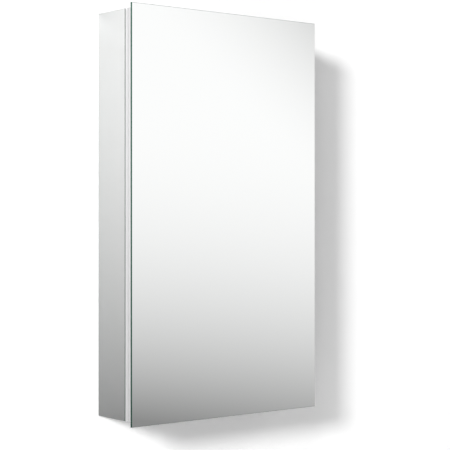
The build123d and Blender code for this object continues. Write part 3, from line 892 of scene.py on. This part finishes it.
WALL_WHITE = 1.02
# Painted light: the wall to the camera is lifted from here to the right, where the key light
# falls off
WALL_LIT = 0.285
WALL_LIT_SLOPE = 2.2
WALL_LIT_MOST = 0.08
# Painted light and shade of the wall as mirrors and glass see it: darker towards the bottom,
# lifted near the top
WALL_MIDDLE = 0.503
WALL_SLOPE = 0.66
WALL_CURVE = -0.62
WALL_DARKEST = 0.15
WALL_TOP = 0.27
WALL_TOP_SLOPE = 1.2
WALL_BESIDE = 0.212
WALL_BESIDE_BAND = 0.03
WALL_BESIDE_GAIN = 4.0
# Painted shade: the floor as mirrors and glass see it, darker than the grey that lights the
# cabinet
FLOOR_SHADE_PAINTED_FOR_MIRRORS = 0.28


def wall_light_and_shade_painted_for_mirrors(across, height):
    """Brightness of the wall in the mirrors, by the place on it, with painted light and shade:
    darker towards the bottom, lifted near the top, darker close beside the cabinet.
    """
    top = (height - WALL_TOP).at_least(0.0) * WALL_TOP_SLOPE
    graded = WALL_MIDDLE + height * (WALL_SLOPE + height * WALL_CURVE) + top
    # Painted shade: the wall close beside the cabinet is darker in the mirrors, the wall further
    # out lighter
    beside = (abs(across) - WALL_BESIDE).at_least(-WALL_BESIDE_BAND).at_most(WALL_BESIDE_BAND)
    return graded.at_least(WALL_DARKEST) * (beside * WALL_BESIDE_GAIN + 1.0)


def wall_white(across):
    """Brightness of the wall to the camera, by the place on it, with painted light: lifted
    towards the right, where the key light falls off, over the outer part of the cabinet's shadow
    too.
    """
    lit = (across - WALL_LIT).at_least(0.0) * WALL_LIT_SLOPE
    return lit.at_most(WALL_LIT_MOST) + WALL_WHITE


def backdrop_material(name, grey, is_wall):
    """Pale wall or floor: one-sided, white to the camera, and with painted light and shade in the
    mirrors and glass.
    """
    s = Shader(name)
    camera, mirrored = s.rays()
    across, _, height = s.split(s.place())
    white, graded = WALL_WHITE, FLOOR_SHADE_PAINTED_FOR_MIRRORS
    if is_wall:
        white, graded = wall_white(across), wall_light_and_shade_painted_for_mirrors(across, height)
    # Painted light and shade: mirrors and glass see the wall graded by place and the floor darker
    grey = mirrored * (graded - grey) + grey
    grey = camera * (white - grey) + grey
    tone = s.node("ShaderNodeCombineXYZ", None, {"X": grey, "Y": grey, "Z": grey})
    face = s.node("ShaderNodeBsdfDiffuse", None, {"Color": tone})
    clear = s.node("ShaderNodeBsdfTransparent")
    behind = s.node("ShaderNodeNewGeometry", output="Backfacing")
    return s.ended(s.node("ShaderNodeMixShader", None, {0: behind, 1: face, 2: clear}))


STAGE_REACH = 3.0
WALL_RIM = 3.0 * MM
WALL_GAP = 0.3 * MM


def make_backdrop(settings):
    """The wall, open behind the cabinet so that its back is lit too, and the floor."""
    left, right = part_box("left_side_profile"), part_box("right_side_profile")
    ground = -settings.floor_drop
    rows = [ground, left[0].z + WALL_RIM, left[1].z - WALL_RIM, STAGE_REACH]
    columns = [-STAGE_REACH, left[0].x + WALL_RIM, right[1].x - WALL_RIM, STAGE_REACH]
    points = [(x, WALL_GAP, z) for z in rows for x in columns]
    faces = [
        (4 * r + c, 4 * r + c + 1, 4 * r + c + 5, 4 * r + c + 4)
        for r in range(3) for c in range(3) if (r, c) != (1, 1)
    ]
    floor = [
        (-STAGE_REACH, WALL_GAP, ground), (-STAGE_REACH, -STAGE_REACH, ground),
        (STAGE_REACH, -STAGE_REACH, ground), (STAGE_REACH, WALL_GAP, ground),
    ]
    for name, verts, polygons, grey, is_wall in (
        ("wall", points, faces, settings.wall[0], True),
        ("floor", floor, [(0, 1, 2, 3)], settings.floor[0], False),
    ):
        data = bpy.data.meshes.new(name)
        data.from_pydata(verts, [], polygons)
        data.materials.append(backdrop_material("pale_" + name, grey, is_wall))
        piece = bpy.data.objects.new(name, data)
        bpy.context.scene.collection.objects.link(piece)


# ------------------------------------------------------------------ panes, profiles and shelves

# Shortest edges that are rounded
LONG_EDGE = 3 * MM
CATCH_EDGE = 2 * MM
# Degrees between a face and the silvered side, and between a face and a right angle to it
FACING = 20
SQUARE = 10
LEVEL_FACE = 0.99
SHELVES = ("lower", "middle", "upper")


class MirrorStep(bpy.types.Operator):
    """Build the five panes of mirror glass with their edges and painted backs"""

    bl_idname = "cabinet.mirrors"
    bl_label = "Mirrors"

    def execute(self, context):
        for node, facing in (
            ("door_mirror", (0, -1, 0)),
            ("door_inner_mirror", (0, 1, 0)),
            ("left_side_mirror", (-1, 0, 0)),
            ("right_side_mirror", (1, 0, 0)),
            ("back_mirror", (0, -1, 0)),
        ):
            mirror_pane(node, Vector(facing))
        return {"FINISHED"}


def mirror_pane(node, facing):
    """A pane silvered on one side, with green edges, seamed corners and a painted back."""
    silvered, edge, arris, painted_back = range(4)
    mesh = merged_copy(node)
    for face in mesh.faces:
        turn = math.degrees(face.normal.angle(facing))
        if turn < FACING:
            face.material_index = silvered
        elif turn > 180 - FACING:
            face.material_index = painted_back
        else:
            face.material_index = edge if abs(turn - 90) < SQUARE else arris
    materials = ["mirror_face", "mirror_edge", "mirror_arris", "mirror_back"]
    finished(node + "_pane", mesh, materials, node)


class BodyStep(bpy.types.Operator):
    """Build the aluminium profiles of the body, its plugs and its back"""

    bl_idname = "cabinet.body"
    bl_label = "Body"

    def execute(self, context):
        corner = context.scene.cabinet_metals.corner
        for node, name, finish in (
            ("left_side_profile", "left_side_extrusion", "satin_upright"),
            ("right_side_profile", "right_side_extrusion", "satin_upright"),
            ("top_profile", "top_extrusion", "satin_level"),
            ("bottom_profile", "bottom_extrusion", "satin_level"),
            ("profile_end_plugs", "extrusion_end_plugs", "plastic"),
        ):
            eased(node, name, finish, corner, LONG_EDGE)
        painted("back_sheet", "back_panel")
        painted("foam", "left_side_mirror_tape", "right_side_mirror_tape", "back_mirror_tape")
        return {"FINISHED"}


class DoorStep(bpy.types.Operator):
    """Build the door's mitred frame, its corner keys, backing board and tapes"""

    bl_idname = "cabinet.door"
    bl_label = "Door"

    def execute(self, context):
        corner = context.scene.cabinet_metals.corner
        for node, name, finish, radius in (
            ("door_stile_free_side", "frame_stile_free_side", "satin_upright", corner),
            ("door_stile_hinge_side", "frame_stile_hinge_side", "satin_upright", corner),
            ("door_rail_top", "frame_rail_top", "satin_level", corner),
            ("door_rail_bottom", "frame_rail_bottom", "satin_level", corner),
            ("door_corner_keys", "frame_corner_keys", "zinc", 2 * corner),
        ):
            eased(node, name, finish, radius, LONG_EDGE)
        painted("board", "door_backing_board")
        painted("foam", "door_mirror_tape", "door_inner_mirror_tape")
        return {"FINISHED"}


class ShelfStep(bpy.types.Operator):
    """Build the glass shelves with their polished edges"""

    bl_idname = "cabinet.shelves"
    bl_label = "Shelves"

    def execute(self, context):
        for level in SHELVES:
            node = "shelf_" + level
            mesh = merged_copy(node)
            for face in mesh.faces:
                face.material_index = 0 if abs(face.normal.z) > LEVEL_FACE else 1
            finished("glass_" + node, mesh, ["shelf_glass", "shelf_edge"], node)
        return {"FINISHED"}


class CatchStep(bpy.types.Operator):
    """Build the magnetic catches and their strikes"""

    bl_idname = "cabinet.catches"
    bl_label = "Catches"

    def execute(self, context):
        corner = context.scene.cabinet_metals.corner
        for node, name, finish, radius in (
            ("catch_housings", "magnet_housings", "plastic", 1.6 * corner),
            ("catch_magnets", "housing_magnets", "magnet", corner),
            ("catch_strikes", "strike_plates", "stainless", 0.5 * corner),
        ):
            eased(node, name, finish, radius, CATCH_EDGE)
        return {"FINISHED"}


# ------------------------------------------------------------------ hinge

HINGE_AXIS = Vector((187.0 * MM, -85.05 * MM, 0.0))
LEAF_EDGE = 184.5 * MM
LEAF_OVERLAP = 0.05 * MM
LEAF_OFFSET = 0.425 * MM
KNUCKLE_GAP = 0.3 * MM
KNUCKLE_ROUNDING = 0.08 * MM


class HingeStep(bpy.types.Operator):
    """Build the continuous hinge"""

    bl_idname = "cabinet.hinge"
    bl_label = "Hinge"

    def execute(self, context):
        settings = context.scene.cabinet_fixings
        hinge_leaf("hinge_body_leaf", settings, first=0, side=1.0, roll_start=205)
        hinge_leaf("hinge_door_leaf", settings, first=1, side=-1.0, roll_start=200)
        painted("stainless", "hinge_pin")
        return {"FINISHED"}


def hinge_leaf(node, settings, first, side, roll_start):
    """One leaf of the hinge: its drilled plate, and every second knuckle rolled from it."""
    low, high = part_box(node)
    pitch = (high.z - low.z) / settings.knuckles
    plate = merged_copy(node)
    bmesh.ops.bisect_plane(
        plate, geom=[*plate.verts, *plate.edges, *plate.faces],
        plane_co=(LEAF_EDGE - LEAF_OVERLAP, 0, 0), plane_no=(1, 0, 0), clear_outer=True,
    )
    rim = [e for e in plate.edges if e.is_boundary]
    bmesh.ops.holes_fill(plate, edges=rim, sides=0)
    spots = [
        (Vector((HINGE_AXIS.x, HINGE_AXIS.y, low.z + (i + 0.5) * pitch)), Quaternion())
        for i in range(first, settings.knuckles, 2)
    ]
    tree = knuckle_tree({
        "Radius": 2.2 * MM, "Bore": 1.25 * MM, "Length": pitch - KNUCKLE_GAP,
        "Leaf thickness": 0.65 * MM, "Leaf offset": side * LEAF_OFFSET,
        "Leaf reach": HINGE_AXIS.x - LEAF_EDGE + LEAF_OVERLAP,
        "Roll start": math.radians(roll_start), "Roll sweep": math.radians(315),
        "Finish": FINISHES["stainless"],
    })
    knuckles = tree.grown(spots, KNUCKLE_ROUNDING)
    rolled = bpy.data.meshes.new("knuckles")
    knuckles.to_mesh(rolled)
    knuckles.free()
    plate.from_mesh(rolled)
    bpy.data.meshes.remove(rolled)
    finished("rolled_" + node, plate, ["stainless"], node)


# ------------------------------------------------------------------ fixings


def outward_side(place):
    """Away from the middle of the cabinet, to the left or the right."""
    return (math.copysign(1, place.x), 0, 0)


def inward_side(place):
    """Towards the middle of the cabinet, from the left or the right."""
    return (-math.copysign(1, place.x), 0, 0)


def to_front(place):
    """Out of the wall."""
    return (0, -1, 0)


def to_wall(place):
    """Into the wall."""
    return (0, 1, 0)


def to_right(place):
    """To the right."""
    return (1, 0, 0)


def upward(place):
    """Up."""
    return (0, 0, 1)


# Screws of each node: the way they face, and in mm the radius and the depth of the head, the
# radius of the shank and the whole length
SCREWS = (
    ("frame_screws", outward_side, 4.0, 2.0, 2.0, 26.0),
    ("hinge_body_screws", to_front, 2.3, 0.65, 1.4, 8.0),
    ("hinge_door_screws", to_wall, 2.3, 0.65, 1.4, 8.0),
    ("catch_screws", to_right, 3.0, 1.5, 1.5, 9.0),
    ("strike_screws", to_wall, 2.6, 0.9, 1.3, 7.0),
)
RIVET = {
    "Head radius": 2.9 * MM, "Head depth": 0.75 * MM, "Shank radius": 1.6 * MM,
    "Length": 4.5 * MM, "Bulb radius": 2.2 * MM, "Bulb depth": 1.2 * MM,
}
SHELF_PIN = {
    "Barrel radius": 2.5 * MM, "Barrel length": 7.0 * MM, "Collar radius": 4.5 * MM,
    "Collar depth": 1.0 * MM, "Tongue thickness": 2.0 * MM, "Tongue width": 7.0 * MM,
    "Tongue length": 10.0 * MM,
}
# Share of a shelf pin's length that is barrel
PIN_BARREL_SHARE = 7 / 18
BUSH = {
    "Radius": 6.5 * MM, "Flange radius": 9.0 * MM, "Flange": 1.2 * MM, "Bore": 5.0 * MM,
    "Length": 5.2 * MM,
}
# Pads of each node: the name of the piece, the way they face, and in mm radius and thickness
PADS = (
    ("shelf_pads", "round_shelf_pads", upward, 3.0, 0.8),
    ("door_bumpers", "round_door_bumpers", to_wall, 4.0, 1.2),
)


class FixingStep(bpy.types.Operator):
    """Build the screws, rivets, pins, pads and bushes"""

    bl_idname = "cabinet.fixings"
    bl_label = "Fixings"

    def execute(self, context):
        settings = context.scene.cabinet_fixings
        for node, ways, head, sink, shank, reach in SCREWS:
            sizes = {
                "Head radius": head * MM, "Head depth": sink * MM, "Shank radius": shank * MM,
                "Length": reach * MM, "Recess span": settings.recess_span,
                "Recess width": settings.recess_width, "Recess depth": settings.recess_depth,
                "Thread pitch": settings.thread_pitch, "Seed": settings.seed,
            }
            fixings(node, "cross_recess_" + node, "zinc", screw_tree, sizes, spots_on(node, ways))
        node = "back_panel_rivets"
        fixings(node, "blind_rivets", "stainless", rivet_tree, RIVET, spots_on(node, to_wall))
        edge = settings.edge
        for level in SHELVES:
            node = "shelf_pins_" + level
            spots = spots_on(node, inward_side, PIN_BARREL_SHARE)
            fixings(node, "tongue_" + node, "stainless", shelf_pin_tree, SHELF_PIN, spots, edge)
        for node, name, ways, radius, thick in PADS:
            sizes = {"Radius": radius * MM, "Thickness": thick * MM}
            fixings(node, name, "pad", pad_tree, sizes, spots_on(node, ways, 0.0), edge)
        node = "wall_hole_bushes"
        spots = spots_on(node, to_front)
        fixings(node, "flanged_bushes", "plastic", bush_tree, BUSH, spots, edge)
        return {"FINISHED"}


def fixings(node, name, finish, tree, sizes, spots, edge=0.0):
    """The fixings of one node, one on each of its solids."""
    grown = tree({**sizes, "Finish": FINISHES[finish]}).grown(spots, edge)
    finished(name, grown, [finish], node)


# ------------------------------------------------------------------ add-on

SETTINGS = {
    "cabinet_mirrors": CabinetMirrors,
    "cabinet_metals": CabinetMetals,
    "cabinet_fittings": CabinetFittings,
    "cabinet_fixings": CabinetFixings,
    "cabinet_stage": CabinetStage,
}
STEPS = (StageStep, MirrorStep, BodyStep, DoorStep, ShelfStep, CatchStep, HingeStep, FixingStep)


class CabinetPanel(bpy.types.Panel):
    """Lists the cabinet's settings and steps"""

    bl_idname = "CABINET_PT_panel"
    bl_label = "Medicine Cabinet"
    bl_space_type = "VIEW_3D"
    bl_region_type = "UI"
    bl_category = "Cabinet"

    def draw(self, context):
        for name, kind in SETTINGS.items():
            box = self.layout.box()
            box.label(text=kind.__doc__)
            for key in kind.__annotations__:
                box.prop(getattr(context.scene, name), key)
        for step in STEPS:
            self.layout.operator(step.bl_idname)


CLASSES = (*SETTINGS.values(), *STEPS, CabinetPanel)


def register():
    """Registers the classes and hangs the settings on the scene."""
    for kind in CLASSES:
        bpy.utils.register_class(kind)
    for name, kind in SETTINGS.items():
        setattr(bpy.types.Scene, name, PointerProperty(type=kind))


def unregister():
    """Takes the settings and the classes away again."""
    for name in SETTINGS:
        delattr(bpy.types.Scene, name)
    for kind in reversed(CLASSES):
        bpy.utils.unregister_class(kind)


def main():
    """Registers the add-on and builds every piece in order."""
    register()
    for step in STEPS:
        group, name = step.bl_idname.split(".")
        getattr(getattr(bpy.ops, group), name)()


if __name__ == "__main__":
    main()
